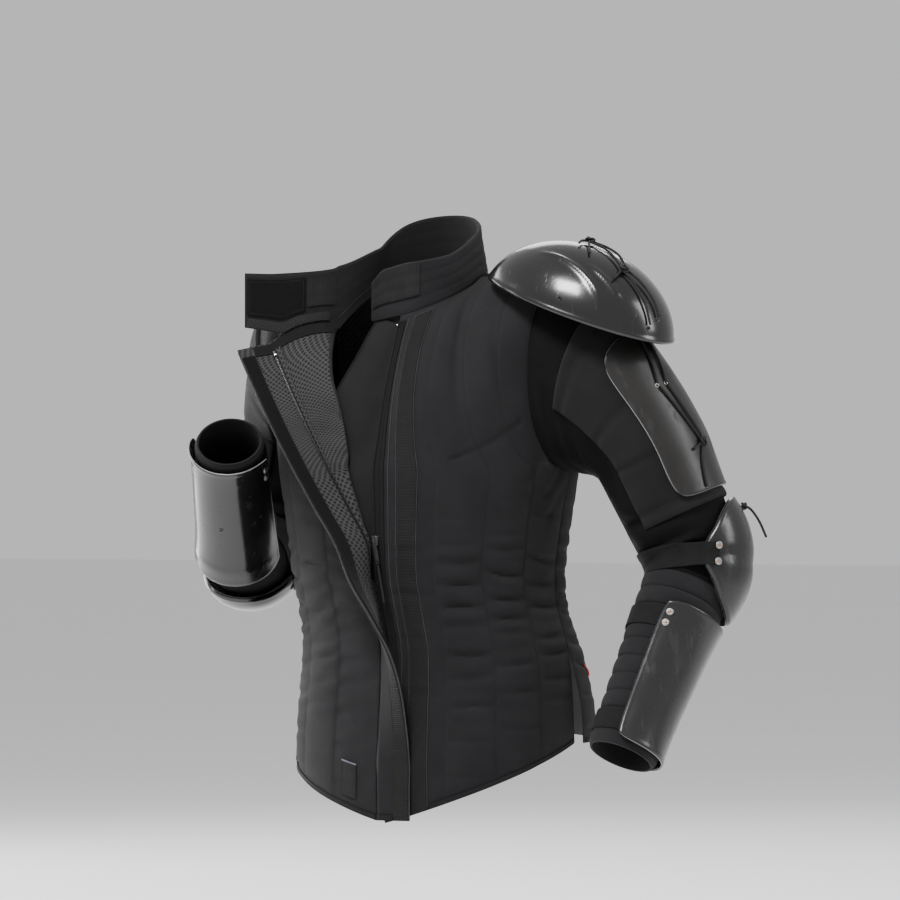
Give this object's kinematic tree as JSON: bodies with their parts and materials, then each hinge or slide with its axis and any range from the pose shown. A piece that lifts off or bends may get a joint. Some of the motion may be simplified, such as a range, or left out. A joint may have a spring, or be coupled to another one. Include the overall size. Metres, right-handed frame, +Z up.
{
  "type": "fencing jacket",
  "caption": "Padded black fencing jacket, worn half open with the right front turned back, with moulded plastic arm guards.",
  "frame": {"origin": "at the base of the wearer's neck, in the middle, at the height of the collar seam's sides", "axes": "+Z up, the wearer faces -Y, and +X is the wearer's left"},
  "size_m": [0.7454, 0.337, 0.7246],
  "materials": {
    "padded_cotton": "black padded cotton, stitched in channels",
    "lining": "thin black lining cloth",
    "sewn_tape": "sewn tapes, strips and bindings",
    "webbing": "woven strap",
    "moulded_plastic": "dark grey moulded sheet, satin",
    "polished_plastic": "dark grey moulded dome, glossy",
    "nickel": "nickel plated",
    "dark_pull": "dark covered pull",
    "red_tag": "red woven tag",
    "lace": "round black lace"
  },
  "bodies": {
    "jacket": {"arm_pad_left": "padded_cotton", "arm_pad_right": "padded_cotton", "arm_plate_left": "moulded_plastic", "back": "padded_cotton", "cap_lace_left": "lace", "collar": "padded_cotton", "collar_patch": "sewn_tape", "collar_tab": "sewn_tape", "cup_rivet_a_left": "nickel", "cup_rivet_a_right": "nickel", "cup_rivet_b_left": "nickel", "cup_rivet_b_right": "nickel", "elbow_cup_left": "moulded_plastic", "elbow_cup_right": "moulded_plastic", "elbow_strap_left": "webbing", "elbow_strap_right": "webbing", "fly_band": "webbing", "fore_guard_left": "moulded_plastic", "fore_guard_right": "moulded_plastic", "fore_sleeve_left": "padded_cotton", "fore_sleeve_right": "padded_cotton", "fore_strap_lower_left": "webbing", "fore_strap_lower_right": "webbing", "fore_strap_upper_left": "webbing", "fore_strap_upper_right": "webbing", "front_left": "padded_cotton", "front_right": "padded_cotton", "guard_rivet_a_left": "nickel", "guard_rivet_a_right": "nickel", "guard_rivet_b_left": "nickel", "guard_rivet_b_right": "nickel", "guard_rivet_c_left": "nickel", "guard_rivet_c_right": "nickel", "guard_rivet_d_left": "nickel", "guard_rivet_d_right": "nickel", "hem_back": "sewn_tape", "hem_label": "sewn_tape", "hem_left": "sewn_tape", "hem_right": "sewn_tape", "hook_strip": "sewn_tape", "loop_strip": "sewn_tape", "plate_lace": "lace", "shoulder_cap_left": "polished_plastic", "side_tag": "red_tag", "sleeve_left": "padded_cotton", "sleeve_right": "padded_cotton", "underlap": "lining", "zip_left": "sewn_tape", "zip_right": "sewn_tape", "zip_slider": "nickel"},
    "pull": {"pull_cord": "lace", "zip_pull": "dark_pull"}
  },
  "joints": [
    {"name": "pull_hinge", "type": "hinge", "parent": "jacket", "child": "pull", "pos_m": [0.0035, -0.1389, -0.2875], "axis": [-0.9816, 0, -0.1908], "range_deg": [0, 150]}
  ]
}
